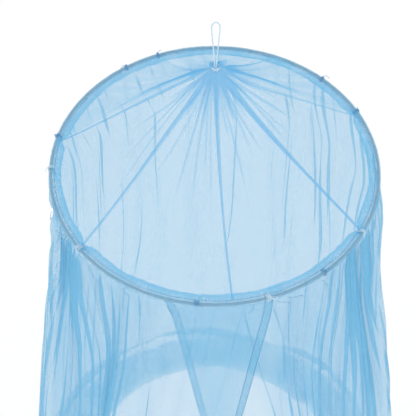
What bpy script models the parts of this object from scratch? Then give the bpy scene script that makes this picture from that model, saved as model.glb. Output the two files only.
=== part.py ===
"""Mosquito net canopy on a hoop.

A round net tent hung from one cord loop. A pointed top of net is gathered and tied at its neck and
sewn to a casing that runs round a thin tube hoop. Below the hoop hangs one wide gathered skirt, whose
two front edges lap over each other near the hoop, part lower down and leave a door. The skirt is longer
than the drop, so its foot lies folded back and forth on the floor in a ring.

Metres, +Z up. The origin is the top of the hanging loop. The door faces -Y.
"""

import math

import bmesh
import bpy
from mathutils import Vector

# Heights, counted from the top of the hanging loop down.
LOOP_HEIGHT = 0.100
TOP_RISE = 0.250
FALL = 1.680
Z_NECK = -LOOP_HEIGHT
Z_HOOP = Z_NECK - TOP_RISE

# Hoop and the folded casing round it.
HOOP_RADIUS = 0.300
TUBE = 0.0055
HOOP_STEPS = 60
TUBE_SIDES = 8
GAP = 0.0004
PLY = 0.0008
PLY_SPLIT = 0.0003
CASING_BAND = 0.0195
CASING_SIDES = 5

# Net sheets, built thicker than real net.
NET = 0.0012

# Skirt. The door's edges are given as their place to the side at the hoop and its change per metre down.
# The folds are calmer near those edges, by DOOR_CALM at the edge itself.
SKIRT_FOLDS = 32
DOOR_LEFT_AT_HOOP = -0.065
DOOR_LEFT_PER_METRE = 0.172
DOOR_RIGHT_AT_HOOP = 0.080
DOOR_RIGHT_PER_METRE = -0.130
DOOR_CALM = 0.35
DOOR_CALM_SHARE = 0.08

# Across one fold of the skirt: share of the fold's width, and side, 1 on its crest and -1 in its valley.
SKIRT_FOLD = (
    # share, side
    (0.00, 1.0),
    (0.22, 0.1),
    (0.50, -1.0),
    (0.78, -0.1),
)

# Pointed top. Its folds fade to nothing towards the neck, from NECK_FADE inward. Between two crests the
# net sags at two shares of the way, by VALLEY_DEPTH times the crest's height besides TOP_SAG.
TOP_SAG = 0.005
TUCK_HEIGHT = 0.0035
NECK_FADE = 0.050
VALLEY_SHARES = (0.3, 0.7)
VALLEY_DEPTH = 0.6

# Neck binding, hanging loop and thread ties.
BINDING_THREAD = 0.0015
BINDING_TURNS = 3
BINDING_STEPS = 24
BINDING_CORNERS = (60, 20, -20, -60)
CORD = 0.0024
CORD_POINTS = 33
TIE_THREAD = 0.0014
TIE_RADIUS = 0.0059
TIE_POINTS = 9
TIE_FROM = math.radians(25)
TIE_TO = math.radians(215)

# Skirt sections: depth below the hoop, radius, reach of the folds, how far apart the two laps of the
# door lie, and lie, which is 0 where the folds stand out sideways and 1 where they lie on the floor.
SKIRT_ROWS = (
    # depth, radius, fold, laps, lie
    (0.0054, 0.3000, 0.0010, 0.0024, 0.0),
    (0.0450, 0.3070, 0.0075, 0.0120, 0.0),
    (0.2500, 0.3390, 0.0130, 0.0160, 0.0),
    (0.8000, 0.4240, 0.0150, 0.0160, 0.0),
    (1.3500, 0.5080, 0.0150, 0.0160, 0.0),
    (FALL - 0.060, 0.5430, 0.0100, 0.0100, 0.0),
    (FALL - 0.038, 0.5620, 0.0025, 0.0030, 0.5),
    (FALL - 0.030, 0.5860, 0.0015, 0.0000, 0.8),
    (FALL - 0.022, 0.5850, 0.0015, 0.0000, 0.8),
    (FALL - 0.020, 0.4360, 0.0020, 0.0000, 1.0),
    (FALL - 0.010, 0.4330, 0.0020, 0.0000, 1.0),
    (FALL - 0.005, 0.5650, 0.0020, 0.0000, 1.0),
)

# Sections of the pointed top: radius, height above the hoop, and share of the folds' height.
TOP_ROWS = (
    # radius, height, fold
    (0.2920, 0.0020, 0.00),
    (0.2200, 0.0625, 0.45),
    (0.1400, 0.1310, 0.80),
    (0.0600, 0.2000, 1.00),
    (0.0200, 0.2350, 0.50),
    (0.0052, 0.2472, 0.00),
    (0.0052, 0.2545, 0.00),
    (0.0085, 0.2620, 0.00),
)

# Folds of the pointed top: degrees round from the front, positive to the right, and share of the full
# height, which only the long tucks that run from the neck to the hoop have.
TOP_FOLDS = (
    # angle, height
    (-174, 0.4),
    (-160, 0.6),
    (-145, 0.8),
    (-131, 0.5),
    (-117, 0.6),
    (-102.5, 1.0),
    (-87, 0.5),
    (-69, 0.5),
    (-52, 1.0),
    (-37, 0.5),
    (-24, 0.6),
    (-8, 0.5),
    (6, 1.0),
    (19, 0.5),
    (32, 0.6),
    (45, 0.5),
    (59, 1.0),
    (75, 0.5),
    (94, 0.5),
    (115, 1.0),
    (128, 0.6),
    (141, 0.8),
    (155, 0.5),
    (170, 0.6),
)

# Thread ties that hold the casing to the hoop: degrees round from the front, positive to the right.
TIE_ANGLES = (-158, -144.5, -102.5, -88, -51.5, -6, 17, 38, 59, 115, 135)

# Route of the hanging loop: out to the side and height above the neck.
LOOP_ROUTE = (
    # side, height
    (-0.0014, -0.0030),
    (-0.0017, 0.0100),
    (-0.0031, 0.0320),
    (-0.0048, 0.0580),
    (-0.0064, 0.0820),
    (-0.0056, 0.0934),
    (0.0000, LOOP_HEIGHT - CORD / 2),
    (0.0056, 0.0934),
    (0.0064, 0.0820),
    (0.0048, 0.0580),
    (0.0031, 0.0320),
    (0.0017, 0.0100),
    (0.0014, -0.0030),
)


def clear_scene():
    for old in list(bpy.data.objects):
        bpy.data.objects.remove(old, do_unlink=True)


def open_collection(name):
    """A collection for the canopy, made the one that new objects go into."""
    made = bpy.data.collections.new(name)
    bpy.context.scene.collection.children.link(made)
    bpy.context.view_layer.active_layer_collection = bpy.context.view_layer.layer_collection.children[name]
    return made


def material(name, colour, roughness, metallic=0.0, alpha=1.0):
    made = bpy.data.materials.new(name)
    made.use_nodes = True
    shader = made.node_tree.nodes["Principled BSDF"]
    shader.inputs["Base Color"].default_value = (*colour, 1.0)
    shader.inputs["Roughness"].default_value = roughness
    shader.inputs["Metallic"].default_value = metallic
    shader.inputs["Alpha"].default_value = alpha
    return made


def add_object(name, data, finish):
    made = bpy.data.objects.new(name, data)
    CANOPY.objects.link(made)
    data.materials.append(finish)
    return made


def around(angle, radius, height):
    """The point at this angle from the front, positive to the right."""
    return Vector((radius * math.sin(angle), -radius * math.cos(angle), height))


def blend(low, high, value):
    """0 below low, 1 above high, and smooth between."""
    share = min(max((value - low) / (high - low), 0.0), 1.0)
    return share * share * (3.0 - 2.0 * share)


def sheet(name, columns, rows, place, finish):
    """A net sheet: a grid whose crossings go where place(column, row) says, made NET thick."""
    build = bmesh.new()
    bmesh.ops.create_grid(build, x_segments=columns, y_segments=rows, size=0.5)
    for vert in build.verts:
        column = round((vert.co.x + 0.5) * columns)
        row = round((vert.co.y + 0.5) * rows)
        vert.co = place(column, row)
    bmesh.ops.remove_doubles(build, verts=build.verts, dist=1e-6)
    bmesh.ops.recalc_face_normals(build, faces=build.faces)
    mesh = bpy.data.meshes.new(name)
    build.to_mesh(mesh)
    build.free()
    mesh.shade_smooth()
    made = add_object(name, mesh, finish)
    solid = made.modifiers.new("thickness", "SOLIDIFY")
    solid.thickness = NET
    solid.offset = 0.0
    return made


def turned(name, profile, steps, height, finish):
    """A closed profile of (radius, height) points, turned about the canopy's axis."""
    build = bmesh.new()
    corners = [build.verts.new((radius, 0.0, rise)) for radius, rise in profile]
    for corner, following in zip(corners, corners[1:] + corners[:1]):
        build.edges.new((corner, following))
    mesh = bpy.data.meshes.new(name)
    build.to_mesh(mesh)
    build.free()
    made = add_object(name, mesh, finish)
    made.location.z = height
    screw = made.modifiers.new("turn", "SCREW")
    screw.steps = steps
    screw.render_steps = steps
    screw.use_merge_vertices = True
    screw.merge_threshold = 1e-5
    return made


def tube(name, points, diameter, finish, sides=1):
    """A round thread or cord through the points, with closed ends."""
    curve = bpy.data.curves.new(name, "CURVE")
    curve.dimensions = "3D"
    line = curve.splines.new("POLY")
    line.points.add(len(points) - 1)
    for spot, place in zip(line.points, points):
        spot.co = (*place, 1.0)
    curve.bevel_depth = diameter / 2
    curve.bevel_resolution = sides
    curve.use_fill_caps = True
    return add_object(name, curve, finish)


def through(route, count):
    """count points along a smooth curve through the route's points."""
    found = []
    for step in range(count):
        at = step / (count - 1) * (len(route) - 1)
        index = min(int(at), len(route) - 2)
        share = at - index
        before = route[max(index - 1, 0)]
        start = route[index]
        end = route[index + 1]
        after = route[min(index + 2, len(route) - 1)]
        found.append(
            0.5
            * (
                2 * start
                + (end - before) * share
                + (2 * before - 5 * start + 4 * end - after) * share**2
                + (3 * start - before - 3 * end + after) * share**3
            )
        )
    return found


# --- hoop and casing ---


def make_hoop(finish):
    bpy.ops.mesh.primitive_torus_add(
        major_segments=HOOP_STEPS,
        minor_segments=TUBE_SIDES,
        major_radius=HOOP_RADIUS,
        minor_radius=TUBE / 2,
        location=(0.0, 0.0, Z_HOOP),
    )
    made = bpy.context.object
    made.name = "hoop"
    made.data.name = "hoop"
    made.data.shade_smooth()
    made.data.materials.append(finish)


def fold_arc(flat_radius, start_height):
    """Points round the hoop's tube, from above its inner side out and down to below it. flat_radius is
    the distance to the middle of each side, and start_height is how far up the first point lies."""
    radius = flat_radius / math.cos(math.pi / CASING_SIDES)
    start = math.asin(start_height / radius)
    span = 2 * math.pi - 2 * start
    found = []
    for step in range(CASING_SIDES + 1):
        angle = start + span * step / CASING_SIDES
        found.append((HOOP_RADIUS - radius * math.cos(angle), radius * math.sin(angle)))
    return found


def make_casing(finish):
    """One strip of net folded over the hoop, its two plies lying together inward of it."""
    inner_edge = HOOP_RADIUS - CASING_BAND
    inside = TUBE / 2 + GAP
    ply_top = PLY_SPLIT / 2 + PLY
    profile = [(inner_edge, ply_top)]
    profile += fold_arc(inside + PLY, ply_top)
    profile += [(inner_edge, -ply_top), (inner_edge, -PLY_SPLIT / 2)]
    profile += reversed(fold_arc(inside, PLY_SPLIT / 2))
    profile += [(inner_edge, PLY_SPLIT / 2)]
    turned("hoop_casing", profile, HOOP_STEPS, Z_HOOP, finish)


# --- pointed top ---


def top_columns():
    """(angle, height share) of each column: a crest, and the two sides of the valley that follows it."""
    found = []
    for index, (angle, reach) in enumerate(TOP_FOLDS):
        following, next_reach = TOP_FOLDS[(index + 1) % len(TOP_FOLDS)]
        width = (following - angle) % 360
        found.append((math.radians(angle), reach))
        for share, nearest in zip(VALLEY_SHARES, (reach, next_reach)):
            found.append((math.radians(angle + width * share), -VALLEY_DEPTH * nearest))
    return found


def make_top(finish):
    columns = top_columns()
    slope = math.atan2(TOP_RISE, HOOP_RADIUS)
    last_row = len(TOP_ROWS) - 1

    def place(column, row):
        angle, rise = columns[column % len(columns)]
        radius, height, fold = TOP_ROWS[last_row - row]
        lift = fold * (TUCK_HEIGHT * rise - TOP_SAG * (rise <= 0.0))
        lift *= min(1.0, radius / NECK_FADE)
        return around(angle, radius + lift * math.sin(slope), Z_HOOP + height + lift * math.cos(slope))

    sheet("canopy_top", len(columns), last_row, place, finish)


def make_neck_binding(finish):
    """Turns of cord lying against each other round the neck, as one turned solid."""
    inside = TOP_ROWS[-2][0] + NET / 2 + GAP
    middle = (TOP_ROWS[-2][1] + TOP_ROWS[-3][1]) / 2 - TOP_RISE
    top = middle + BINDING_THREAD * BINDING_TURNS / 2
    profile = [(inside, top)]
    for turn in range(BINDING_TURNS):
        crown = top - BINDING_THREAD * (turn + 0.5)
        for angle in BINDING_CORNERS:
            out = BINDING_THREAD / 2 * math.cos(math.radians(angle))
            up = BINDING_THREAD / 2 * math.sin(math.radians(angle))
            profile.append((inside + BINDING_THREAD / 2 + out, crown + up))
    profile.append((inside, top - BINDING_THREAD * BINDING_TURNS))
    turned("neck_binding", profile, BINDING_STEPS, Z_NECK, finish)


def make_hanging_loop(finish):
    route = [Vector((side, 0.0, Z_NECK + height)) for side, height in LOOP_ROUTE]
    tube("hanging_loop", through(route, CORD_POINTS), CORD, finish, sides=2)


# --- skirt ---


def fold_width(fold):
    """Relative width of the skirt's folds, uneven in a way that does not repeat."""
    return 1.0 + 0.30 * math.sin(2.4 * fold) + 0.15 * math.sin(5.3 * fold)


def skirt_columns():
    """(share along the sheet, side) of each column, the last one closing the last fold."""
    widths = [fold_width(fold) for fold in range(SKIRT_FOLDS)]
    total = sum(widths)
    found = []
    along = 0.0
    for width in widths:
        for share, side in SKIRT_FOLD:
            found.append(((along + width * share) / total, side))
        along += width
    found.append((1.0, 1.0))
    return found


def door_angle(at_hoop, per_metre, depth, radius):
    return math.asin((at_hoop + per_metre * depth) / radius)


def make_skirt(finish):
    columns = skirt_columns()
    last_row = len(SKIRT_ROWS) - 1

    def place(column, row):
        share, side = columns[column]
        depth, radius, fold, laps, lie = SKIRT_ROWS[last_row - row]
        start = door_angle(DOOR_RIGHT_AT_HOOP, DOOR_RIGHT_PER_METRE, depth, radius)
        end = door_angle(DOOR_LEFT_AT_HOOP, DOOR_LEFT_PER_METRE, depth, radius) - 2 * math.pi
        angle = start + (end - start) * share
        calm = DOOR_CALM + (1.0 - DOOR_CALM) * blend(0.0, DOOR_CALM_SHARE, min(share, 1.0 - share))
        out = fold * side * calm
        radius += laps * (0.5 - share) + out * (1.0 - lie)
        return around(angle, radius, Z_HOOP - depth + out * lie)

    sheet("skirt", len(columns) - 1, last_row, place, finish)


# --- thread ties ---


def make_ties(finish):
    """Short threads sewn through the casing's band, over the hoop and down its outer side."""
    for number, degrees in enumerate(TIE_ANGLES, start=1):
        points = []
        for step in range(TIE_POINTS):
            turn = TIE_FROM + (TIE_TO - TIE_FROM) * step / (TIE_POINTS - 1)
            radius = HOOP_RADIUS - TIE_RADIUS * math.cos(turn)
            points.append(around(math.radians(degrees), radius, Z_HOOP + TIE_RADIUS * math.sin(turn)))
        tube(f"tie_{number:02d}", points, TIE_THREAD, finish)


clear_scene()
CANOPY = open_collection("mosquito_net_canopy")
blue_net = material("blue_net", (0.24, 0.56, 0.82), 0.75, alpha=0.6)
dense_net = material("dense_blue_net", (0.20, 0.50, 0.78), 0.75)
grey_tube = material("grey_plastic_tube", (0.30, 0.36, 0.42), 0.30)
white_cord = material("white_cord", (0.80, 0.86, 0.90), 0.70)
pale_thread = material("pale_blue_thread", (0.55, 0.74, 0.88), 0.65)

make_hoop(grey_tube)
make_casing(dense_net)
make_top(blue_net)
make_neck_binding(white_cord)
make_hanging_loop(white_cord)
make_skirt(blue_net)
make_ties(pale_thread)
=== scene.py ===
"""Looks of the mosquito net canopy: camera, light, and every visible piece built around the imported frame.

Heights are in metres, +Z up. Angles go round the canopy's axis from the front, positive to the right.
"""

import math

import bpy
import numpy as np
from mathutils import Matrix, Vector


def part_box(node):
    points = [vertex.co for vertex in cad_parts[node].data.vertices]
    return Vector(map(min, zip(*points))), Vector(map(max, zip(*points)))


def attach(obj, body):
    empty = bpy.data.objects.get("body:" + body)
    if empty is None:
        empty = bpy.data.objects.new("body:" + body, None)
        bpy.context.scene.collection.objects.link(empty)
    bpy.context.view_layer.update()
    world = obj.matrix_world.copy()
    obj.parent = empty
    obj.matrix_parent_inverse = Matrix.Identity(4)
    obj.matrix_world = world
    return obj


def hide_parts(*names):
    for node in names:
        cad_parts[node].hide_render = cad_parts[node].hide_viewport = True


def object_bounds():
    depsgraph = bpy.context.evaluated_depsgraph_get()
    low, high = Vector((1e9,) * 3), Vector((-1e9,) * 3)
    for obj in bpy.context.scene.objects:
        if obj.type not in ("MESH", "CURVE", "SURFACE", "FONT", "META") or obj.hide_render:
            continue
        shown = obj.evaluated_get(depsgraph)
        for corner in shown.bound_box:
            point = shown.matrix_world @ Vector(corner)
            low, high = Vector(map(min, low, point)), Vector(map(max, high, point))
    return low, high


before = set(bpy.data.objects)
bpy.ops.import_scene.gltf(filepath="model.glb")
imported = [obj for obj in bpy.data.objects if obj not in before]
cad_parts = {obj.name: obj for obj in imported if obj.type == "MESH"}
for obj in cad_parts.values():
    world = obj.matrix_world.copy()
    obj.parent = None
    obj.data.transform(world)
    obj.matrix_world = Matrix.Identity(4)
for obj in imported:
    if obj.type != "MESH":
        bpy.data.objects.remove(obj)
cad_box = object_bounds()

# The tube's thickness, the height of its middle, and the radius that it is bent to.
hoop_low, hoop_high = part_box("hoop")
TUBE = hoop_high.z - hoop_low.z
HOOP_Z = (hoop_high.z + hoop_low.z) / 2
HOOP_R = (hoop_high.x - hoop_low.x - TUBE) / 2

# The raw edge of the band inside the hoop, the tied neck of the top, the studio floor, and the cord that
# binds the neck.
BAND_INNER = HOOP_R - 0.0195
NECK_Z = HOOP_Z + 0.250
FLOOR_Z = cad_box[0].z - 0.0015
binding_low, binding_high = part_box("neck_binding")


# --- camera, floor and light ---

CAMERA_PLACE = (-0.0122, -1.129, HOOP_Z + 1.403)
CAMERA_DOWN = 53.77
LENS = 84.79

# Strength of the light that comes evenly from all round.
SKY_LIGHT = 1.01


def add_camera():
    """In front of the canopy and above it, looking down through the top."""
    data = bpy.data.cameras.new("camera")
    data.lens = LENS
    data.sensor_width = 36.0
    data.clip_end = 50.0
    camera = bpy.data.objects.new("camera", data)
    camera.location = CAMERA_PLACE
    camera.rotation_euler = (math.radians(90 - CAMERA_DOWN), 0.0, 0.0)
    bpy.context.scene.collection.objects.link(camera)
    bpy.context.scene.camera = camera


def add_floor():
    bpy.ops.mesh.primitive_circle_add(vertices=96, radius=9.0, fill_type="NGON", location=(0, 0, FLOOR_Z))
    floor = bpy.context.object
    floor.name = "floor"
    paint = bpy.data.materials.new("studio_floor")
    paint.use_nodes = True
    shader = paint.node_tree.nodes["Principled BSDF"]
    shader.inputs["Base Color"].default_value = (0.98, 0.98, 0.98, 1.0)
    shader.inputs["Roughness"].default_value = 0.9
    shader.inputs["Specular IOR Level"].default_value = 0.1
    floor.data.materials.append(paint)


def add_area_light(name, place, aim, size, power):
    data = bpy.data.lights.new(name, "AREA")
    data.shape = "DISK"
    data.size = size
    data.energy = power
    light = bpy.data.objects.new(name, data)
    light.location = place
    light.rotation_euler = (Vector(aim) - Vector(place)).to_track_quat("-Z", "Y").to_euler()
    bpy.context.scene.collection.objects.link(light)


def add_lights():
    world = bpy.data.worlds.new("studio")
    world.use_nodes = True
    tree = world.node_tree
    sky = tree.nodes["Background"]
    sky.inputs["Color"].default_value = (1.0, 1.0, 1.0, 1.0)
    path = tree.nodes.new("ShaderNodeLightPath")
    strength = maths(tree, "MAXIMUM", path.outputs["Is Camera Ray"], SKY_LIGHT)
    tree.links.new(strength, sky.inputs["Strength"])
    bpy.context.scene.world = world
    middle = (0, 0, -0.8)
    add_area_light("soft_key", (-2.5, -3.0, 0.9), middle, size=2.0, power=9)
    add_area_light("soft_fill", (2.7, -2.7, 0.7), middle, size=2.4, power=8)


def set_view():
    """Plain colours, and enough bounces for light to pass through every layer of the net."""
    scene = bpy.context.scene
    scene.view_settings.view_transform = "Standard"
    scene.cycles.transparent_max_bounces = 72
    scene.cycles.max_bounces = 6


# --- making meshes ---


def ripple(across, down, seed, turns_across, turns_down, waves=8):
    """Smooth wandering about 0, seldom past 1 or -1, over the unit square. The two counts of turns say how
    often it can swing along each side, and each seed draws its own waves."""
    draw = np.random.default_rng(seed)
    total = np.zeros(np.broadcast(across, down).shape)
    for _ in range(waves):
        side = draw.uniform(0.25, 1.0) * turns_across * draw.choice([-1.0, 1.0])
        fall = draw.uniform(0.0, 1.0) * turns_down
        total += np.cos(2 * np.pi * (side * across + fall * down + draw.uniform()))
    return total / math.sqrt(waves)


def ease(low, high, value):
    """0 on low's side, 1 on high's side, and smooth between them."""
    share = np.clip((np.asarray(value, float) - low) / (high - low), 0.0, 1.0)
    return share * share * (3 - 2 * share)


def around(angle, radius, height):
    """Places at these angles from the front, as an array of points."""
    places = np.broadcast_arrays(radius * np.sin(angle), -radius * np.cos(angle), height)
    return np.stack(places, axis=-1)


def from_front(degrees):
    """The same directions, all between -180 and 180 degrees."""
    return (degrees + 180) % 360 - 180


def running_length(line):
    """How far along the line each of its points lies."""
    return np.concatenate([[0], np.cumsum(np.linalg.norm(np.diff(line, axis=0), axis=1))])


def unit(directions):
    return directions / np.maximum(np.linalg.norm(directions, axis=-1, keepdims=True), 1e-9)


def link(name, mesh, finish, replaced=()):
    """Put a piece in the scene, in its finish, riding on the one body."""
    piece = bpy.data.objects.new(name, mesh)
    bpy.context.scene.collection.objects.link(piece)
    mesh.materials.append(finish)
    mesh.shade_smooth()
    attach(piece, "root")
    if replaced:
        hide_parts(*replaced)
    return piece


def facing(places):
    """Unit directions standing off the sheet at each of its places."""
    return unit(np.cross(np.gradient(places, axis=1), np.gradient(places, axis=0)))


def cloth_mesh(name, places, crowd, across, down):
    """A sheet through a grid of places. crowd says how many times thicker than one flat layer the cloth
    lies, and across and down are its own measures in metres, for the weave."""
    rows, columns = places.shape[:2]
    index = np.arange(rows * columns).reshape(rows, columns)
    corners = (index[:-1, :-1], index[:-1, 1:], index[1:, 1:], index[1:, :-1])
    quads = np.stack(corners, axis=-1).reshape(-1, 4)
    mesh = bpy.data.meshes.new(name)
    mesh.from_pydata(places.reshape(-1, 3).tolist(), [], quads.tolist())
    mesh.attributes.new("crowd", "FLOAT", "POINT").data.foreach_set("value", crowd.ravel())
    cloth = np.stack(np.broadcast_arrays(across, down, 0.0), axis=-1)
    mesh.attributes.new("cloth", "FLOAT_VECTOR", "POINT").data.foreach_set("vector", cloth.ravel())
    return mesh


def thread_mesh(name, runs, diameter, sides):
    """Round threads along the runs of points, with closed ends, as one mesh."""
    points, faces = [], []
    turns = np.arange(sides) * 2 * math.pi / sides
    for run in runs:
        ahead = unit(np.gradient(run, axis=0))
        side = np.cross(ahead[0], (0.31, 0.17, 0.93))
        start = len(points)
        for place, along in zip(run, ahead):
            side = side - along * side.dot(along)
            side /= max(np.linalg.norm(side), 1e-9)
            up = np.cross(along, side)
            for turn in turns:
                points.append(place + diameter / 2 * (math.cos(turn) * side + math.sin(turn) * up))
        for ring in range(len(run) - 1):
            low = start + ring * sides
            for corner in range(sides):
                beside = (corner + 1) % sides
                faces.append((low + corner, low + beside, low + sides + beside, low + sides + corner))
        faces.append([start + corner for corner in reversed(range(sides))])
        faces.append([start + (len(run) - 1) * sides + corner for corner in range(sides)])
    mesh = bpy.data.meshes.new(name)
    mesh.from_pydata([tuple(point) for point in points], [], faces)
    return mesh


def add_threads(name, runs, diameter, sides, finish, replaced=()):
    return link(name, thread_mesh(name, runs, diameter, sides), finish, replaced)


def through(route, count):
    """count points along a smooth curve through the route's points."""
    route = np.asarray(route, float)
    at = np.linspace(0, len(route) - 1, count)
    index = np.minimum(at.astype(int), len(route) - 2)
    share = (at - index)[:, None]
    before = route[np.maximum(index - 1, 0)]
    start, end = route[index], route[index + 1]
    after = route[np.minimum(index + 2, len(route) - 1)]
    return 0.5 * (
        2 * start
        + (end - before) * share
        + (2 * before - 5 * start + 4 * end - after) * share**2
        + (3 * start - before - 3 * end + after) * share**3
    )


# --- finishes ---


def new_group(name, inputs, outputs):
    """An empty shader group: inputs are (name, socket type, default), outputs (name, socket type)."""
    group = bpy.data.node_groups.new(name, "ShaderNodeTree")
    for label, kind, default in inputs:
        socket = group.interface.new_socket(label, in_out="INPUT", socket_type=kind)
        if default is not None:
            socket.default_value = default
    for label, kind in outputs:
        group.interface.new_socket(label, in_out="OUTPUT", socket_type=kind)
    return group, group.nodes.new("NodeGroupInput"), group.nodes.new("NodeGroupOutput")


def maths(tree, what, first, second=None):
    """A Math node's result. first and second are sockets or numbers."""
    node = tree.nodes.new("ShaderNodeMath")
    node.operation = what
    for socket, value in zip(node.inputs, (first, second)):
        if hasattr(value, "is_output"):
            tree.links.new(value, socket)
        elif value is not None:
            socket.default_value = value
    return node.outputs[0]


def scaled(tree, value, times, plus):
    return maths(tree, "ADD", maths(tree, "MULTIPLY", value, times), plus)


def noise(tree, place, scale, detail=2.0, stretch=(1.0, 1.0, 1.0)):
    """A soft cloudy mottle, stretched where stretch is below 1."""
    mapping = tree.nodes.new("ShaderNodeMapping")
    mapping.inputs["Scale"].default_value = stretch
    tree.links.new(place, mapping.inputs["Vector"])
    node = tree.nodes.new("ShaderNodeTexNoise")
    node.inputs["Scale"].default_value = scale
    node.inputs["Detail"].default_value = detail
    tree.links.new(mapping.outputs[0], node.inputs["Vector"])
    return node.outputs["Fac"]


def build_net_weave():
    """Knitted net: six-sided holes between yarns, with uneven yarn along the length of the cloth."""
    group, given, result = new_group(
        "net_weave",
        [
            ("Cloth", "NodeSocketVector", None),
            ("Hole", "NodeSocketFloat", 0.0018),
            ("Contrast", "NodeSocketFloat", 0.3),
        ],
        [("Cover", "NodeSocketFloat"), ("Height", "NodeSocketFloat"), ("Shade", "NodeSocketFloat")],
    )
    turns = maths(group, "DIVIDE", 2 * math.pi, given.outputs["Hole"])
    total = 0.0
    for degrees in (0, 60, 120):
        way = math.radians(degrees)
        dot = group.nodes.new("ShaderNodeVectorMath")
        dot.operation = "DOT_PRODUCT"
        group.links.new(given.outputs["Cloth"], dot.inputs[0])
        dot.inputs[1].default_value = (math.cos(way), math.sin(way), 0.0)
        wave = maths(group, "COSINE", maths(group, "MULTIPLY", dot.outputs["Value"], turns))
        total = maths(group, "ADD", wave, total)
    yarn = maths(group, "MULTIPLY", total, -1 / 3)
    uneven = noise(group, given.outputs["Cloth"], scale=260.0, stretch=(1.0, 0.05, 1.0))
    wide = noise(group, given.outputs["Cloth"], scale=22.0, detail=3.0, stretch=(1.0, 0.35, 1.0))
    cover = scaled(group, yarn, given.outputs["Contrast"], 1.0)
    for mottle, swing, least in ((uneven, 0.14, 0.93), (wide, 0.30, 0.85)):
        cover = maths(group, "MULTIPLY", cover, scaled(group, mottle, swing, least))
    group.links.new(cover, result.inputs["Cover"])
    group.links.new(yarn, result.inputs["Height"])
    group.links.new(wide, result.inputs["Shade"])
    return group


def build_twist():
    """Twisted fibres: fine roughness all over, and a soft wide mottle."""
    group, given, result = new_group(
        "thread_twist",
        [("Place", "NodeSocketVector", None), ("Scale", "NodeSocketFloat", 900.0)],
        [("Height", "NodeSocketFloat"), ("Shade", "NodeSocketFloat")],
    )
    fine = group.nodes.new("ShaderNodeTexNoise")
    group.links.new(given.outputs["Place"], fine.inputs["Vector"])
    group.links.new(given.outputs["Scale"], fine.inputs["Scale"])
    fine.inputs["Detail"].default_value = 3.0
    group.links.new(fine.outputs["Fac"], result.inputs["Height"])
    soft = noise(group, given.outputs["Place"], scale=160.0)
    group.links.new(soft, result.inputs["Shade"])
    return group


NET_WEAVE = build_net_weave()
TWIST = build_twist()


def new_material(name, roughness):
    made = bpy.data.materials.new(name)
    made.use_nodes = True
    shader = made.node_tree.nodes["Principled BSDF"]
    shader.inputs["Roughness"].default_value = roughness
    return made, made.node_tree, shader


def place_group(tree, group):
    node = tree.nodes.new("ShaderNodeGroup")
    node.node_tree = group
    return node


def mixed(tree, share, low, high):
    """A colour between low and high, by the share. low may be another node's colour."""
    mix = tree.nodes.new("ShaderNodeMix")
    mix.data_type = "RGBA"
    if hasattr(low, "is_output"):
        tree.links.new(low, mix.inputs["A"])
    else:
        mix.inputs["A"].default_value = (*low, 1.0)
    mix.inputs["B"].default_value = (*high, 1.0)
    tree.links.new(share, mix.inputs["Factor"])
    return mix.outputs["Result"]


def bumped(tree, shader, height, strength, distance):
    bump = tree.nodes.new("ShaderNodeBump")
    bump.inputs["Strength"].default_value = strength
    bump.inputs["Distance"].default_value = distance
    tree.links.new(height, bump.inputs["Height"])
    tree.links.new(bump.outputs["Normal"], shader.inputs["Normal"])


def stored(tree, name):
    """The values of that name which the cloth's mesh carries."""
    node = tree.nodes.new("ShaderNodeAttribute")
    node.attribute_name = name
    return node


def net_alpha(tree, crowd, weave_cover, cover):
    """How much the net hides, when each of its layers stops that much of the light."""
    layers = maths(tree, "MULTIPLY", crowd, weave_cover)
    clear = maths(tree, "POWER", 1.0 - cover, layers)
    # Light scatters on through the yarns, so that shadow and shade stay weak.
    path = tree.nodes.new("ShaderNodeLightPath")
    onward = maths(tree, "MAXIMUM", path.outputs["Is Shadow Ray"], path.outputs["Is Diffuse Ray"])
    shown = maths(tree, "SUBTRACT", 1.0, maths(tree, "MULTIPLY", onward, 0.8))
    return maths(tree, "MULTIPLY", maths(tree, "SUBTRACT", 1.0, clear), shown)


def deepened(tree, colour, crowd, deepest):
    """The colour, turned towards the deep blue where many layers lie together, as far as deepest."""
    many = maths(tree, "MULTIPLY", maths(tree, "SUBTRACT", crowd, 1.4), 0.26)
    share = maths(tree, "MINIMUM", maths(tree, "MAXIMUM", many, 0.0), deepest)
    return mixed(tree, share, colour, BLUE_DEEP)


def net_finish(name, low, high, cover, contrast, deepest):
    """Sheer net. cover is how much of the light one flat layer stops, and deepest how far the colour may
    deepen where many layers lie together."""
    made, tree, shader = new_material(name, roughness=0.65)
    shader.inputs["Specular IOR Level"].default_value = 0.0
    shader.inputs["Sheen Weight"].default_value = 0.03
    shader.inputs["Sheen Roughness"].default_value = 0.5
    crowd = stored(tree, "crowd").outputs["Fac"]
    weave = place_group(tree, NET_WEAVE)
    weave.inputs["Contrast"].default_value = contrast
    tree.links.new(stored(tree, "cloth").outputs["Vector"], weave.inputs["Cloth"])
    tree.links.new(net_alpha(tree, crowd, weave.outputs["Cover"], cover), shader.inputs["Alpha"])
    colour = mixed(tree, weave.outputs["Shade"], low, high)
    tree.links.new(deepened(tree, colour, crowd, deepest), shader.inputs["Base Color"])
    bumped(tree, shader, weave.outputs["Height"], strength=0.2, distance=0.0002)
    return made


def thread_finish(name, low, high, scale):
    """Spun thread or cord. scale is how fine its fibres are."""
    made, tree, shader = new_material(name, roughness=0.7)
    shader.inputs["Sheen Weight"].default_value = 0.2
    shader.inputs["Specular IOR Level"].default_value = 0.3
    place = tree.nodes.new("ShaderNodeTexCoord")
    twist = place_group(tree, TWIST)
    twist.inputs["Scale"].default_value = scale
    tree.links.new(place.outputs["Object"], twist.inputs["Place"])
    tree.links.new(mixed(tree, twist.outputs["Shade"], low, high), shader.inputs["Base Color"])
    bumped(tree, shader, twist.outputs["Height"], strength=0.5, distance=0.0003)
    return made


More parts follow.
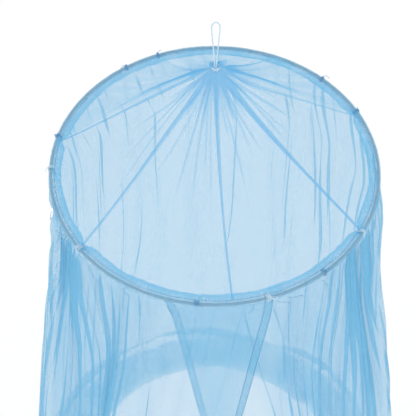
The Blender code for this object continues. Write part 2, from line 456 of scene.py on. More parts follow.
def tube_finish():
    """Glossy grey plastic with faint scuffs."""
    made, tree, shader = new_material("grey_tube", roughness=0.28)
    shader.inputs["Coat Weight"].default_value = 0.3
    shader.inputs["Coat Roughness"].default_value = 0.15
    place = tree.nodes.new("ShaderNodeTexCoord")
    scuffs = noise(tree, place.outputs["Object"], scale=90.0, detail=4.0)
    grey = mixed(tree, scuffs, (0.15, 0.25, 0.34), (0.28, 0.40, 0.50))
    tree.links.new(grey, shader.inputs["Base Color"])
    tree.links.new(scaled(tree, scuffs, times=0.25, plus=0.18), shader.inputs["Roughness"])
    grain = noise(tree, place.outputs["Object"], scale=600.0)
    bumped(tree, shader, grain, strength=0.08, distance=0.0001)
    return made


# The two shades that the mottle of each cloth and thread runs between.
# The skirt and the top are one and the same net: their two pairs of shades differ only as painted light and
# shade, set for how differently each of them is lit.
SKIRT_BLUES = ((0.17, 0.465, 0.70), (0.225, 0.535, 0.76))
TOP_BLUES = ((0.175, 0.49, 0.75), (0.24, 0.565, 0.81))
BAND_BLUES = ((0.15, 0.50, 0.77), (0.215, 0.57, 0.84))
HEM_BLUES = ((0.13, 0.43, 0.67), (0.19, 0.50, 0.74))
THREAD_BLUES = ((0.07, 0.27, 0.52), (0.12, 0.38, 0.66))
THREAD_WHITES = ((0.42, 0.66, 0.84), (0.72, 0.86, 0.94))
CORD_WHITES = ((0.46, 0.65, 0.80), (0.68, 0.82, 0.92))

# The blue of net that lies many layers thick.
BLUE_DEEP = (0.12, 0.42, 0.74)

skirt_net = net_finish("skirt_net", *SKIRT_BLUES, cover=0.35, contrast=0.25, deepest=0.15)
top_net = net_finish("top_net", *TOP_BLUES, cover=0.33, contrast=0.25, deepest=0.75)
band_net = net_finish("band_net", *BAND_BLUES, cover=0.42, contrast=0.20, deepest=0.30)
hem_net = net_finish("hem_net", *HEM_BLUES, cover=0.34, contrast=0.20, deepest=0.30)
blue_thread = thread_finish("blue_thread", *THREAD_BLUES, scale=2500.0)
pale_thread = thread_finish("pale_thread", *THREAD_WHITES, scale=2500.0)
white_cord = thread_finish("white_cord", *CORD_WHITES, scale=1500.0)


# --- how net gathers ---

# What share of its own width a folded sheet covers, for each angle that its folds turn aside at most.
FOLD_TURNS = np.linspace(0, 2.36, 240)
HALF_SWING = np.sin((np.arange(48) + 0.5) * math.pi / 48)
COVERS = np.cos(FOLD_TURNS[:, None] * HALF_SWING).mean(axis=1)


def turn_for(cover):
    """How far the cloth turns aside in its folds, so that it covers only this share of its own width."""
    return np.interp(cover, COVERS[::-1], FOLD_TURNS[::-1])


def smoothed(rows, columns):
    """Each row averaged over about that many columns."""
    kernel = np.hanning(2 * columns + 1)
    kernel /= kernel.sum()
    padded = np.pad(rows, ((0, 0), (columns, columns)), mode="edge")
    return np.array([np.convolve(row, kernel, "valid") for row in padded])


def added_up(rates, step):
    """The running sum along each row, starting at 0."""
    total = np.zeros_like(rates)
    total[:, 1:] = np.cumsum((rates[:, 1:] + rates[:, :-1]) / 2, axis=1)
    return total * step


def crowding(along, step, most):
    """How many layers thick the cloth looks, up to most, where it moves on this slowly."""
    advance = np.abs(np.gradient(along, axis=1)) / step
    return 1 / np.clip(advance, 1 / most, 1.0)


# --- skirt ---

SKIRT_WIDTH = 4.2
HEM_WIDTH = 0.02
SKIRT_COLUMNS = 841
SKIRT_PLEATS = 74
HANGING_ROWS = 84
FOOT_ROWS = 34

# The front edges of the door: how far to the side they hang at the hoop, and how far each moves sideways
# for every metre down.
DOOR_LEFT = (-0.085, 0.162)
DOOR_RIGHT = (0.095, -0.140)

# Depth below the hoop where the cloth meets the floor.
FLOOR_DEPTH = 1.64

# The skirt's line from the hoop down, then out and back over the floor: radius, depth below the hoop,
# reach of the folds, gap between the laps of the door, and lie, 1 where the cloth lies on the floor.
SKIRT_LINE = (
    (0.3020, 0.0040, 0.15, 0.0024, 0.0),
    (0.3045, 0.0180, 0.40, 0.0060, 0.0),
    (0.3050, 0.0450, 0.70, 0.0120, 0.0),
    (0.3110, 0.1200, 0.72, 0.0150, 0.0),
    (0.3290, 0.2500, 0.68, 0.0160, 0.0),
    (0.4160, 0.8000, 0.72, 0.0160, 0.0),
    (0.5040, 1.3500, 0.80, 0.0160, 0.0),
    (0.5400, 1.6000, 0.70, 0.0100, 0.1),
    (0.5600, 1.6380, 0.40, 0.0030, 0.6),
    (0.5780, 1.6480, 0.30, 0.0000, 1.0),
    (0.5760, 1.6560, 0.30, 0.0000, 1.0),
    (0.5100, 1.6590, 0.30, 0.0000, 1.0),
    (0.4420, 1.6620, 0.30, 0.0000, 1.0),
    (0.4360, 1.6680, 0.30, 0.0000, 1.0),
    (0.4900, 1.6710, 0.30, 0.0000, 1.0),
    (0.5600, 1.6735, 0.30, 0.0000, 1.0),
)

# Where the spare cloth of the gathers lies under the hoop: degrees round from the front, and how much.
SPARE_CLOTH = (
    (-180, 0.10),
    (-140, 0.12),
    (-130, 0.45),
    (-118, 0.60),
    (-109, 0.20),
    (-102, 0.05),
    (-67, 0.05),
    (-62, 1.50),
    (-57, 2.50),
    (-50, 2.30),
    (-42, 1.70),
    (-36, 0.90),
    (-28, 0.45),
    (-20, 0.20),
    (-14, 0.22),
    (14, 0.22),
    (22, 0.20),
    (30, 0.50),
    (37, 0.90),
    (42, 1.70),
    (50, 2.30),
    (59, 2.50),
    (64, 1.50),
    (69, 0.05),
    (102, 0.05),
    (109, 0.20),
    (118, 0.60),
    (130, 0.45),
    (140, 0.12),
    (180, 0.10),
)

# Single folds where the cloth is otherwise nearly flat: degrees, width in degrees, and how much cloth.
LONE_FOLDS = (
    (-177, 1.0, 0.9),
    (-172, 1.2, 0.8),
    (-159, 1.2, 0.8),
    (-155, 1.0, 0.5),
    (-150.5, 1.4, 0.7),
    (-145, 1.4, 0.9),
    (-133.5, 2.2, 1.2),
    (-97, 1.2, 0.6),
    (-86, 1.0, 0.5),
    (-71, 1.2, 0.9),
    (-25, 1.4, 0.9),
    (-18, 1.0, 0.6),
    (25, 1.6, 1.0),
    (31, 1.0, 0.8),
    (75, 1.2, 0.9),
    (88, 1.0, 0.5),
    (99, 1.2, 0.6),
    (132, 1.4, 0.8),
    (137.5, 1.8, 1.6),
    (148, 1.2, 0.9),
    (150.5, 1.4, 1.3),
    (156, 1.4, 1.4),
    (172.8, 1.2, 0.9),
)


def skirt_line():
    """The skirt's line as one row of values for each row of the sheet, with its length from the hoop."""
    fine = through(SKIRT_LINE, 600)
    length = np.concatenate([[0], np.cumsum(np.hypot(np.diff(fine[:, 0]), np.diff(fine[:, 1])))])
    floor_start = np.interp(FLOOR_DEPTH, fine[:, 1], length)
    hanging = floor_start * np.linspace(0, 1, HANGING_ROWS) ** 1.25
    foot = np.linspace(floor_start, length[-1], FOOT_ROWS + 1)[1:]
    at = np.concatenate([hanging, foot])
    return [np.interp(at, length, fine[:, column])[:, None] for column in range(5)] + [at[:, None]]


def door_angle(edge, radius, depth):
    """Where a front edge hangs, as an angle from the front."""
    side, lean = edge
    return np.arcsin((side + lean * depth) / radius)


def spare_cloth(part, degrees, down, depth):
    """How much spare cloth lies in each direction, by SPARE_CLOTH and LONE_FOLDS, and in small clumps."""
    # Lower down, the cloth beside the door leans in towards it.
    under_hoop = degrees * (1 + 0.16 * ease(0.0, 0.3, depth) * ease(72, 45, np.abs(degrees)))
    table = np.array(SPARE_CLOTH)
    spare = np.interp(under_hoop, table[:, 0], table[:, 1])
    clumps = 0.55 * ripple(part, down, 22, 24, 0.5) + 0.35 * ripple(part, down, 23, 55, 1.5)
    spare = spare * np.exp(clumps)
    stray = 1.2 * ripple(part, down, 24, 9, 2.0)
    for centre, width, amount in LONE_FOLDS:
        spare = spare + amount * np.exp(-(((under_hoop + stray - centre) / width) ** 2))
    return spare


def gathered_line(start, end, reach_round, down, depth):
    """For each row, how far round each column lies and what share of its own width the cloth covers
    there."""
    part = np.linspace(0, 1, 1600)[None, :]
    degrees = from_front(np.degrees(start + (end - start) * part))
    spare = spare_cloth(part, degrees, down, depth)
    fullness = SKIRT_WIDTH / reach_round
    density = 1.02 + (fullness - 1.02) * spare / spare.mean(axis=1, keepdims=True)
    cloth = added_up(density, 1.0)
    cloth /= cloth[:, -1:]
    share = np.linspace(0, 1, SKIRT_COLUMNS)
    line = np.array([np.interp(share, row, part[0]) for row in cloth])
    cover = np.array([np.interp(at, part[0], 1 / row) for at, row in zip(line, density)])
    return line * reach_round, cover


def fold_headings(cover, share, down, depth):
    """How far the cloth turns aside at each column, as it winds in and out of its folds."""
    draw = np.random.default_rng(4)
    widths = draw.lognormal(0.0, 0.36, SKIRT_PLEATS)
    edges = np.concatenate([[0], np.cumsum(widths)]) / widths.sum()
    pleat = np.interp(share, edges, np.arange(SKIRT_PLEATS + 1))
    phase = 2 * np.pi * pleat + 1.3 * ripple(share, down, 31, 10, 1.2)
    small = 2 * np.pi * pleat * 2.37 + 1.5 * ripple(share, down, 32, 24, 2.0)
    small_turn = 1.1 * np.exp(-depth / 0.11) + 0.22
    turn = turn_for(np.clip(cover, 0.03, 0.99)) * (1.0 + 0.28 * ripple(share, down, 33, 34, 2.2))
    return turn * np.sin(phase) + small_turn * np.sin(small) * ease(0.0, 0.5, turn)


def skirt_swell(share, down, depth, calm, degrees):
    """Slow swells of the whole side, which leave the rim of the hoop alone."""
    swell = 0.010 * ripple(share, down, 41, 7, 0.9) * ease(0.02, 0.35, depth) * calm
    swell += 0.006 * ease(0.0, 0.02, depth) * np.clip(ripple(share, down, 42, 12, 0.6), 0, 1)
    return swell + 0.018 * np.exp(-(((degrees - 85) / 28) ** 2)) * ease(0.0, 0.14, depth)


def skirt_crowd(along, step, cover, angle, share, down, radius, lie):
    """How many layers thick the skirt lies: in its folds, in its bunches and on the floor."""
    crowd = smoothed(crowding(along, step, most=2.4), 7)
    behind = ease(95, 125, np.abs(from_front(np.degrees(angle))))
    bunched = 1 - smoothed(cover, 28)
    crowd = 1 + (crowd - 1) * (0.55 - 0.30 * behind) + 0.9 * bunched * (1 - behind)
    lying = np.minimum(smoothed(crowd, 45), 1.9) * (1 + 0.24 * ripple(share, down, 46, 30, 14.0))
    fold_edge = np.minimum(ease(0.438, 0.462, radius), ease(0.578, 0.556, radius))
    return crowd + (lying * (0.45 + 0.55 * fold_edge) - crowd) * 0.9 * ease(0.0, 0.9, lie)


def shape_skirt():
    radius, depth, reach, laps, lie, length = skirt_line()
    share = np.linspace(0, 1, SKIRT_COLUMNS)[None, :]
    down = length / length[-1]
    step = SKIRT_WIDTH / (SKIRT_COLUMNS - 1)

    start = door_angle(DOOR_RIGHT, radius, depth)
    end = door_angle(DOOR_LEFT, radius, depth) - 2 * np.pi
    line, cover = gathered_line(start, end, (start - end) * radius, down, depth)

    # The folds carry the cloth along the hoop and out from it, leaning to one side and the other.
    heading = fold_headings(cover, share, down, depth)
    lean = 0.9 * ripple(share, down, 34, 30, 1.5)
    pace = np.cos(heading)
    aside = np.sin(heading)
    columns = round(SKIRT_COLUMNS / SKIRT_PLEATS)
    along = added_up(pace - smoothed(pace, columns), step)
    out = added_up(aside - smoothed(aside, columns), step)
    calm = ease(-0.01, 0.05, np.minimum(share, 1 - share))
    hold = reach * (0.25 + 0.75 * calm)
    wander = 0.007 * ripple(share, down, 35, 13, 1.6) * ease(0.05, 0.5, depth) * calm
    along = line + wander + hold * (along + out * np.sin(lean))
    out = hold * out * np.cos(lean)

    swell = skirt_swell(share, down, depth, calm, from_front(np.degrees(start - line / radius)))
    stand = radius + laps * (0.5 - share) + (out + swell) * (1 - lie)
    pile = 0.008 * (ripple(share, down, 43, 9, 12.0) + 0.5 * ripple(share, down, 45, 26, 16.0)) * lie
    crumple = (0.0018 * ripple(share, down, 44, 44, 9.0) + 0.08 * out) * lie
    angle = start - along / radius
    height = HOOP_Z - depth + crumple
    crowd = skirt_crowd(along, step, cover, angle, share, down, radius, lie)
    places = around(angle, stand + pile, np.maximum(height, FLOOR_Z + 0.001))
    return places, crowd, share * SKIRT_WIDTH, length


def add_skirt():
    places, crowd, across, down = shape_skirt()
    mesh = cloth_mesh("net_skirt", places, crowd, across, down)
    skirt = link("net_skirt", mesh, skirt_net, ["skirt"])
    pieces = add_hems(places, down) + add_door_stitches(places)


def add_hems(places, down):
    """The sheet's front edges, turned back over themselves."""
    made = []
    off = facing(places)
    for name, columns in (("door_hem_right", slice(0, 4)), ("door_hem_left", slice(-4, None))):
        strip = places[:, columns] + off[:, columns] * 0.0006
        width = np.linspace(0, HEM_WIDTH, strip.shape[1])[None, :]
        mesh = cloth_mesh(name, strip, np.full(strip.shape[:2], 1.3), width, down)
        made.append(link(name, mesh, hem_net))
    return made


def dashes(line, stitch, gap):
    """Short runs along a line of points, for stitches."""
    length = running_length(line)
    starts = np.arange(0, length[-1] - stitch, stitch + gap)
    at = starts[:, None] + np.linspace(0, stitch, 3)[None, :]
    return np.stack([np.interp(at, length, line[:, axis]) for axis in range(3)], axis=-1)


def add_door_stitches(places):
    """Two seams down each front edge, on its outer side."""
    off = facing(places)
    runs = []
    for column in (0, 3, -4, -1):
        runs.extend(dashes(places[:, column] + off[:, column] * 0.0008, stitch=0.0046, gap=0.0034))
    return [add_threads("door_stitches", runs, diameter=0.0014, sides=4, finish=blue_thread)]


# --- pointed top ---

TOP_WIDTH = 2 * math.pi * HOOP_R
TOP_LENGTH = 0.39
TOP_COLUMNS = 1001
OPEN_ROWS = 64
NECK_ROWS = 20
RUFF_ROWS = 12

# The top is a cone from its edge inside the hoop up to the neck.
TOP_EDGE = 0.2925
NECK_R = 0.0056
TOP_RISE = 0.2452
TOP_RUN = 0.2869
TOP_SLOPE = math.atan2(0.245, 0.287)

# Radius where the folds leave the crowded neck.
FOLDS_START = 0.05

# Folds of the top, from the left of the back round by the front: degrees near the neck, half way and at the
# far end, radius of the far end, half width, and how many more layers lie in the fold.
TOP_FOLDS = (
    (-138.0, -152.3, -157.0, 0.300, 0.0015, 1.0),
    (-126.0, -118.5, -112.5, 0.200, 0.0013, 0.8),
    (-117.0, -108.0, -102.9, 0.250, 0.0014, 1.0),
    (-104.0, -100.2, -100.6, 0.300, 0.0023, 2.2),
    (-77.5, -80.5, -84.0, 0.150, 0.0014, 1.4),
    (-72.5, -68.3, -67.0, 0.205, 0.0013, 1.3),
    (-65.5, -57.8, -53.2, 0.240, 0.0011, 1.0),
    (-49.8, -50.0, -51.6, 0.300, 0.0022, 3.2),
    (-36.5, -38.6, -42.5, 0.170, 0.0011, 1.1),
    (-28.5, -25.0, -24.6, 0.190, 0.0012, 1.3),
    (-20.5, -15.4, -13.2, 0.190, 0.0012, 1.3),
    (-13.5, -9.0, -7.0, 0.150, 0.0011, 1.0),
    (-8.0, -3.6, -2.4, 0.200, 0.0010, 0.9),
    (2.5, 3.9, 5.8, 0.300, 0.0017, 3.0),
    (12.8, 14.0, 14.5, 0.095, 0.0012, 1.2),
    (19.5, 19.8, 18.0, 0.190, 0.0013, 1.2),
    (27.3, 28.2, 28.8, 0.075, 0.0013, 1.0),
    (32.0, 33.3, 31.5, 0.130, 0.0012, 1.0),
    (36.8, 40.8, 42.0, 0.135, 0.0012, 1.3),
    (52.5, 57.2, 59.5, 0.300, 0.0023, 3.4),
    (66.6, 63.9, 62.2, 0.150, 0.0013, 1.3),
    (77.5, 74.3, 73.0, 0.160, 0.0013, 1.3),
    (86.0, 88.6, 90.5, 0.150, 0.0014, 1.4),
    (97.5, 102.0, 100.5, 0.130, 0.0011, 0.8),
    (105.5, 111.2, 114.0, 0.300, 0.0023, 2.2),
    (122.0, 118.0, 116.0, 0.220, 0.0015, 0.9),
    (128.0, 121.8, 119.5, 0.250, 0.0012, 0.6),
    (137.0, 145.5, 150.2, 0.260, 0.0012, 0.9),
    (143.0, 151.5, 154.5, 0.300, 0.0014, 1.1),
    (168.0, 170.0, 170.5, 0.160, 0.0026, 0.6),
    (176.5, 178.0, 178.2, 0.300, 0.0020, 1.4),
)


def is_long(fold):
    """Whether the fold goes all the way to the hoop."""
    return fold[3] >= HOOP_R


def top_columns():
    """Degrees round from the front of each column of the top at its edge, closer together at the folds."""
    fine = np.linspace(-180, 180, 7201)
    density = np.ones_like(fine)
    for fold in TOP_FOLDS:
        density += 3.0 * np.exp(-(((fine - fold[2]) / 1.5) ** 2))
        if is_long(fold):
            density += 4.0 * np.exp(-(((fine - fold[2]) / 1.0) ** 2))
    total = np.cumsum(density)
    at = np.linspace(total[0], total[-1], TOP_COLUMNS)
    return np.interp(at, total, fine)[None, :]


def fold_lines(radius):
    """Degrees of each fold at each radius, one column a fold."""
    lines = []
    for near, middle, end, reach, _, _ in TOP_FOLDS:
        t = np.clip((radius - FOLDS_START) / (reach - FOLDS_START), 0, 1)
        lines.append(near + (4 * middle - 3 * near - end) * t + (2 * near + 2 * end - 4 * middle) * t**2)
    return np.hstack(lines)


def top_crowd(base, share, radius):
    """How many layers thick the top lies between its folds: more behind, and most of all at the neck."""
    behind = ease(-100.6, -102.6, base) + ease(114.0, 116.0, base)
    crowd = 1 + 0.5 * ease(0.040, 0.018, radius) + behind * (0.50 + 1.2 * ease(0.17, 0.04, radius))
    crowd = crowd + 0.20 * behind * ripple(share, radius, 52, 46, 1.5) * ease(0.02, 0.08, radius)
    return crowd + 2.2 * np.clip(ripple(share, 0, 53, 60, 0), 0, 1) * ease(0.085, 0.035, radius)


def lay_folds(crowd, degrees, lines, radius):
    """The crowd with each fold's layers laid on it, and how far the folds stand off the cone."""
    relief = np.zeros_like(degrees)
    for index, (_, _, _, reach, half, layers) in enumerate(TOP_FOLDS):
        aside = np.radians(degrees - lines[:, index:index + 1]) * radius
        width = half * (1 + 0.7 * ease(0.20, 0.08, radius)) + 0.0012 * np.clip((0.065 - radius) / 0.03, 0, 2)
        alive = 1.0 + 0 * radius
        if reach < HOOP_R:
            alive = ease(reach, reach - 0.45 * (reach - FOLDS_START), radius)
            width = width * (0.35 + 0.65 * alive)
        x = aside / width
        body = ease(-1.3, -0.8, x) * ease(1.3, 0.5, x)
        crowd = crowd + alive * layers * (0.75 * body + 0.45 * np.exp(-(((x + 0.75) / 0.3) ** 2)))
        tall = np.minimum(1.3 * width, 0.10 * radius)
        relief = relief + alive * tall * np.exp(-(x**2)) * (1 if index % 3 else -1)
    return crowd, relief


def top_sag(base, share, radius):
    """How far the net sags between the folds that reach the hoop."""
    anchors = np.array([-181.8, *(fold[2] for fold in TOP_FOLDS if is_long(fold))])
    place = np.interp(base, anchors, np.arange(len(anchors)))
    gap = np.interp(place, np.arange(len(anchors) - 1) + 0.5, np.diff(anchors))
    sag = 0.010 * np.clip(gap / 50, 0, 1) * np.sin(np.pi * (place % 1.0))
    sag = sag * np.sin(np.pi * np.clip(radius / 0.31, 0, 1)) ** 0.8
    return sag + 0.0012 * ripple(share, radius / 0.3, 51, 16, 1.0) * ease(0.01, 0.06, radius)


def shape_top():
    base = top_columns()
    share = (base + 180) / 360
    wide = np.linspace(TOP_EDGE, 0.03, OPEN_ROWS)
    radius = np.concatenate([wide, np.geomspace(0.0288, NECK_R, NECK_ROWS)])[:, None]

    # Columns run along the folds, so that each keeps its clean line.
    lines = fold_lines(radius)
    ends = [-180.0, *(fold[2] for fold in TOP_FOLDS), 180.0]
    degrees = np.array([np.interp(base[0], ends, [-180.0, *row, 180.0]) for row in lines])

    crowd, relief = lay_folds(top_crowd(base, share, radius), degrees, lines, radius)
    stand = relief * ease(NECK_R, 0.012, radius) - top_sag(base, share, radius)
    rise = 0.002 + (TOP_EDGE - radius) * TOP_RISE / TOP_RUN
    height = HOOP_Z + rise + stand * math.cos(TOP_SLOPE)
    places = around(np.radians(degrees), radius + stand * math.sin(TOP_SLOPE), height)
    ruff, ruff_crowd = shape_ruff(share)
    places = np.concatenate([places, ruff])
    crowd = np.concatenate([np.clip(crowd, 0.7, 4.5), ruff_crowd])
    length = np.linspace(0, TOP_LENGTH, len(places))[:, None]
    return places, crowd, share * TOP_WIDTH, length


def shape_ruff(share):
    """The gathered net going up through the binding, and its short frill above, in two tufts."""
    up = np.linspace(0, 1, RUFF_ROWS)[:, None]
    angle = (share * 360 - 180) * math.pi / 180
    tufts = 0.35 + 0.65 * np.abs(np.sin(angle)) ** 3
    frill = ease(0.45, 1.0, up)
    ragged = 1 + 0.35 * ripple(share, up, 61, 40, 0.5)
    radius = 0.0052 + frill * (0.0042 * tufts + 0.0012 * ripple(share, up, 62, 34, 0.6))
    height = NECK_Z - 0.003 + up * (0.0075 + 0.0060 * tufts * ragged * frill)
    places = around(angle, radius, np.minimum(height, NECK_Z + 0.013))
    return places, np.full((RUFF_ROWS, share.shape[1]), 3.2)


def add_top():
    places, crowd, across, down = shape_top()
    mesh = cloth_mesh("net_top", places, crowd, across, down)
    top = link("net_top", mesh, top_net, ["canopy_top"])


# --- band round the hoop ---

BAND_WIDTH = 0.052
BAND_COLUMNS = 901
PLY_ROWS = 8
TUBE_ROWS = 15
FRAYED_YARNS = 260

# Degrees where the long folds of the top pull the band inwards.
PINCHES = (-100.9, 114.2, -51.5, 59.3)


def shape_band():
    """A strip folded over the tube: the upper ply, the turns round the tube, and the lower ply."""
    share = np.linspace(0, 1, BAND_COLUMNS)[None, :]
    angle = (share * 360 - 180) * math.pi / 180
    degrees = np.degrees(angle)
    pinch = sum(np.exp(-(((degrees - at) / 2.2) ** 2)) for at in PINCHES)
    inner = BAND_INNER + 0.0012 * ripple(share, 0, 71, 24, 0) + 0.0004 * ripple(share, 0, 72, 110, 0)
    inner = inner + 0.008 * pinch
    flare = 0.0012 * (1 + ripple(share, 0, 73, 30, 0)) + 0.0004 * ripple(share, 0, 74, 120, 0)
    lift = 0.0014 * ripple(share, 0, 75, 18, 0) + 0.0003 * ripple(share, 0, 76, 90, 0)
    near = HOOP_R - TUBE / 2 - 0.0016
    ply = np.linspace(0, 1, PLY_ROWS)
    rows = []
    for part in ply:
        rows.append((inner + (near - inner) * part, 0.0011 - 0.0002 * part + lift * (1 - part)))
    for turn in np.linspace(38, 322, TUBE_ROWS):
        swing = math.radians(180 - turn)
        bulge = flare * max(0.0, -math.sin(swing)) ** 0.7 * 0.9
        out = TUBE / 2 + 0.0011 + bulge
        rows.append((HOOP_R + out * math.cos(swing), out * math.sin(swing)))
    for part in ply[::-1]:
        rows.append((inner + 0.0006 + (near - inner) * part, -0.0009 + lift * (1 - part)))
    places = np.stack([around(angle[0], radius[0], HOOP_Z + height[0]) for radius, height in rows])
    down = np.linspace(0, BAND_WIDTH, len(rows))[:, None]
    return places, band_crowd(share, down, pinch), share * TOP_WIDTH, down


def band_crowd(share, down, pinch):
    """Layers of the band: more at its raw edges and pinches, fewer where it is drawn over the tube."""
    crowd = 1.0 + 0.12 * ripple(share, down / BAND_WIDTH, 77, 160, 1.0)
    crowd = crowd + 0.15 * ripple(share, down, 78, 40, 0) + 1.2 * pinch
    number = np.arange(len(down))[:, None]
    crowd = np.where((number < 2) | (number > len(down) - 3), crowd + 0.9, crowd)
    on_tube = (number >= PLY_ROWS) & (number < PLY_ROWS + TUBE_ROWS)
    return np.clip(np.where(on_tube, 0.65 * crowd, crowd), 0.5, 3.0)


def add_band():
    places, crowd, across, down = shape_band()
    mesh = cloth_mesh("hoop_band", places, crowd, across, down)
    band = link("hoop_band", mesh, band_net, ["hoop_casing"])
    pieces = add_band_stitches()


def add_band_stitches():
    """The seam that closes the band just inside the tube, and a few frayed yarns on its raw edge."""
    angle = np.linspace(-math.pi, math.pi, 1200)
    share = (angle + math.pi) / (2 * math.pi)
    radius = HOOP_R - 0.0068 + 0.0005 * ripple(share, 0, 81, 50, 0)
    line = around(angle, radius, HOOP_Z + 0.0016 + 0.0003 * ripple(share, 0, 82, 90, 0))
    stitches = dashes(line, stitch=0.0036, gap=0.0022)
    seam = add_threads("band_stitches", stitches, diameter=0.0012, sides=4, finish=blue_thread)
    draw = np.random.default_rng(9)
    runs = []
    for _ in range(FRAYED_YARNS):
        at = draw.uniform(-math.pi, math.pi)
        sweep = draw.uniform(-0.012, 0.012)
        reach = draw.uniform(0.001, 0.0045)
        lift = draw.uniform(-0.0015, 0.002)
        part = np.linspace(0, 1, 5)
        runs.append(around(at + sweep * part**2, BAND_INNER + 0.0015 - reach * part, HOOP_Z + lift * part))
    frays = add_threads("band_frays", runs, diameter=0.0004, sides=3, finish=blue_thread)
    return [seam, frays]


# --- thread ties ---

TIE_THREAD = 0.0009
TIES = (
    # degrees, turns, pitch of the turns, white thread or not, tails
    (-158, 3, 0.0011, False, 1),
    (-144.5, 3, 0.0012, False, 1),
    (-102.5, 4, 0.0012, False, 1),
    (-88, 4, 0.0016, True, 1),
    (-51.5, 8, 0.0014, True, 3),
    (-6, 3, 0.0030, False, 2),
    (17, 6, 0.0014, True, 4),
    (38, 3, 0.0013, False, 1),
    (59, 5, 0.0014, True, 3),
    (115, 4, 0.0012, False, 1),
    (135, 3, 0.0012, False, 1),
)


def wrap_runs(draw, degrees, turns, pitch, tails):
    """One tie: turns of thread over the tube and through the band, a small knot, and loose tails."""
    spin = np.linspace(0, 2 * math.pi * turns, 14 * turns)
    sway = draw.uniform(-0.4, 0.4)
    reach = 0.0052 + 0.0007 * np.sin(3.1 * spin / 2 + sway)
    sideways = (spin / (2 * math.pi) - turns / 2) * pitch + 0.0008 * np.sin(spin + sway)
    angle = math.radians(degrees) + sideways / HOOP_R
    inward = np.where(np.cos(spin) > 0, 1.35, 1.0)
    runs = [around(angle, HOOP_R - reach * inward * np.cos(spin), HOOP_Z + reach * np.sin(spin))]
    knot = np.linspace(0, 2 * math.pi, 26)
    centre = draw.uniform(-0.001, 0.001)
    ball = 0.0011
    runs.append(around(
        math.radians(degrees) + (centre + ball * (np.sin(knot) + 1.2 * np.sin(2 * knot))) / HOOP_R,
        HOOP_R + 0.0005 + ball * (np.cos(knot) - 1.2 * np.cos(2 * knot)),
        HOOP_Z + 0.0062 + 0.5 * ball * np.sin(3 * knot),
    ))
    for _ in range(tails):
        side = draw.uniform(-0.016, 0.016)
        drop = draw.uniform(-0.002, 0.010)
        away = draw.uniform(0.003, 0.009)
        curl = draw.uniform(-0.005, 0.005)
        part = np.linspace(0, 1, 12)
        runs.append(around(
            math.radians(degrees) + (centre + side * part + curl * np.sin(math.pi * part)) / HOOP_R,
            HOOP_R + 0.001 + away * np.sin(math.pi * part * 0.75),
            HOOP_Z + 0.0062 - drop * part**2,
        ))
    return runs


def add_ties():
    draw = np.random.default_rng(12)
    for number, (degrees, turns, pitch, white, tails) in enumerate(TIES, start=1):
        runs = wrap_runs(draw, degrees, turns, pitch, tails)
        name = f"tie_wrap_{number:02d}"
        finish = pale_thread if white else blue_thread
        add_threads(name, runs, TIE_THREAD, 6, finish, replaced=[f"tie_{number:02d}"])


# --- loose threads under the hoop ---

LOOSE_THREAD = 0.0008
LOOSE_THREADS = (
    # degrees, start below the hoop, sideways, drop, kink
    (-60, 0.004, -0.014, 0.010, 0.6),
    (-44.7, 0.005, 0.018, 0.016, 0.5),
    (-39, 0.006, -0.006, 0.030, 0.2),
    (-30.1, 0.004, 0.012, 0.014, 0.9),
    (-15, 0.010, 0.010, 0.022, 0.3),
    (12, 0.004, -0.008, 0.012, 0.4),
    (20, 0.006, 0.016, 0.012, 0.7),
    (23, 0.004, 0.022, 0.004, 0.8),
    (36, 0.005, 0.007, 0.022, 0.4),
    (41, 0.005, -0.008, 0.016, 0.6),
    (-70, 0.006, 0.005, 0.018, 0.5),
    (66, 0.004, -0.010, 0.016, 0.7),
)


def add_loose_threads():
    runs = []
    for degrees, start, side, drop, kink in LOOSE_THREADS:
        part = np.linspace(0, 1, 14)
        bend = side * (part + kink * np.sin(math.pi * part) * part)
        runs.append(around(
            math.radians(degrees) + bend / HOOP_R,
            HOOP_R + 0.007 + 0.008 * np.sqrt(part),
            HOOP_Z - start - drop * part**1.3 * (1 - 0.5 * kink * part),
        ))
    add_threads("loose_threads", runs, LOOSE_THREAD, 5, blue_thread)


# --- neck winding and hanging cord ---

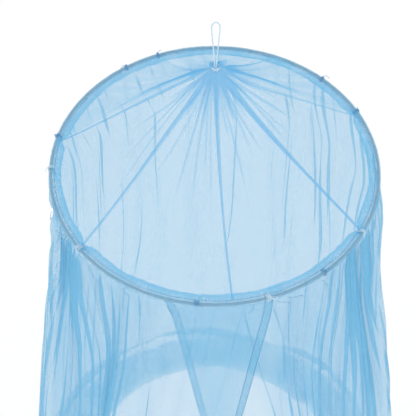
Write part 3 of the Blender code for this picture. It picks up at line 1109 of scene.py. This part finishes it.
CORD_STRAND = 0.0013
BINDING_CORD = 0.0011
LOOP_ROUTE = (
    # side, height above the neck
    (-0.0014, -0.0030),
    (-0.0017, 0.0100),
    (-0.0031, 0.0320),
    (-0.0048, 0.0580),
    (-0.0064, 0.0820),
    (-0.0056, 0.0934),
    (0.0000, 0.0988),
    (0.0056, 0.0934),
    (0.0064, 0.0820),
    (0.0048, 0.0580),
    (0.0031, 0.0320),
    (0.0017, 0.0100),
    (0.0014, -0.0030),
)


def twisted(path, offset, lay):
    """Three strands laid round a path, each going once round it in every length of lay."""
    ahead = unit(np.gradient(path, axis=0))
    side = unit(np.cross(ahead, (0.0, 1.0, 0.0)))
    up = np.cross(ahead, side)
    length = running_length(path)
    runs = []
    for number in range(3):
        turn = 2 * math.pi * (length / lay + number / 3)
        runs.append(path + offset * (np.cos(turn)[:, None] * side + np.sin(turn)[:, None] * up))
    return runs


def add_hanging_cord():
    path = through([(side, 0.0, NECK_Z + height) for side, height in LOOP_ROUTE], 200)
    strands = twisted(path, offset=0.00055, lay=0.0065)
    cord = add_threads("hanging_cord", strands, CORD_STRAND, 8, white_cord, ["hanging_loop"])


def add_neck_winding():
    """Cord wound round the gathered neck, crossed once at the front and tied."""
    middle = (binding_low.z + binding_high.z) / 2
    radius = (binding_high.x - binding_low.x) / 2 - 0.0014
    spin = np.linspace(0, 2 * math.pi * 3.4, 120)
    rise = (spin / (2 * math.pi) - 1.7) * 0.0013
    runs = [around(spin, radius + 0.0003 * np.sin(2.3 * spin), middle + rise)]
    for tilt in (-1, 1):
        part = np.linspace(-1, 1, 16)
        runs.append(around(tilt * part * 0.55, radius + 0.0012 * (1.2 - part**2), middle + 0.0040 * part))
    add_threads("neck_winding", runs, BINDING_CORD, 8, white_cord, ["neck_binding"])


def dress_hoop():
    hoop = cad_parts["hoop"]
    hoop.data.materials.clear()
    hoop.data.materials.append(tube_finish())


set_view()
add_camera()
add_hanging_cord()
add_floor()
add_lights()
dress_hoop()
add_band()
add_top()
add_skirt()
add_ties()
add_loose_threads()
add_neck_winding()
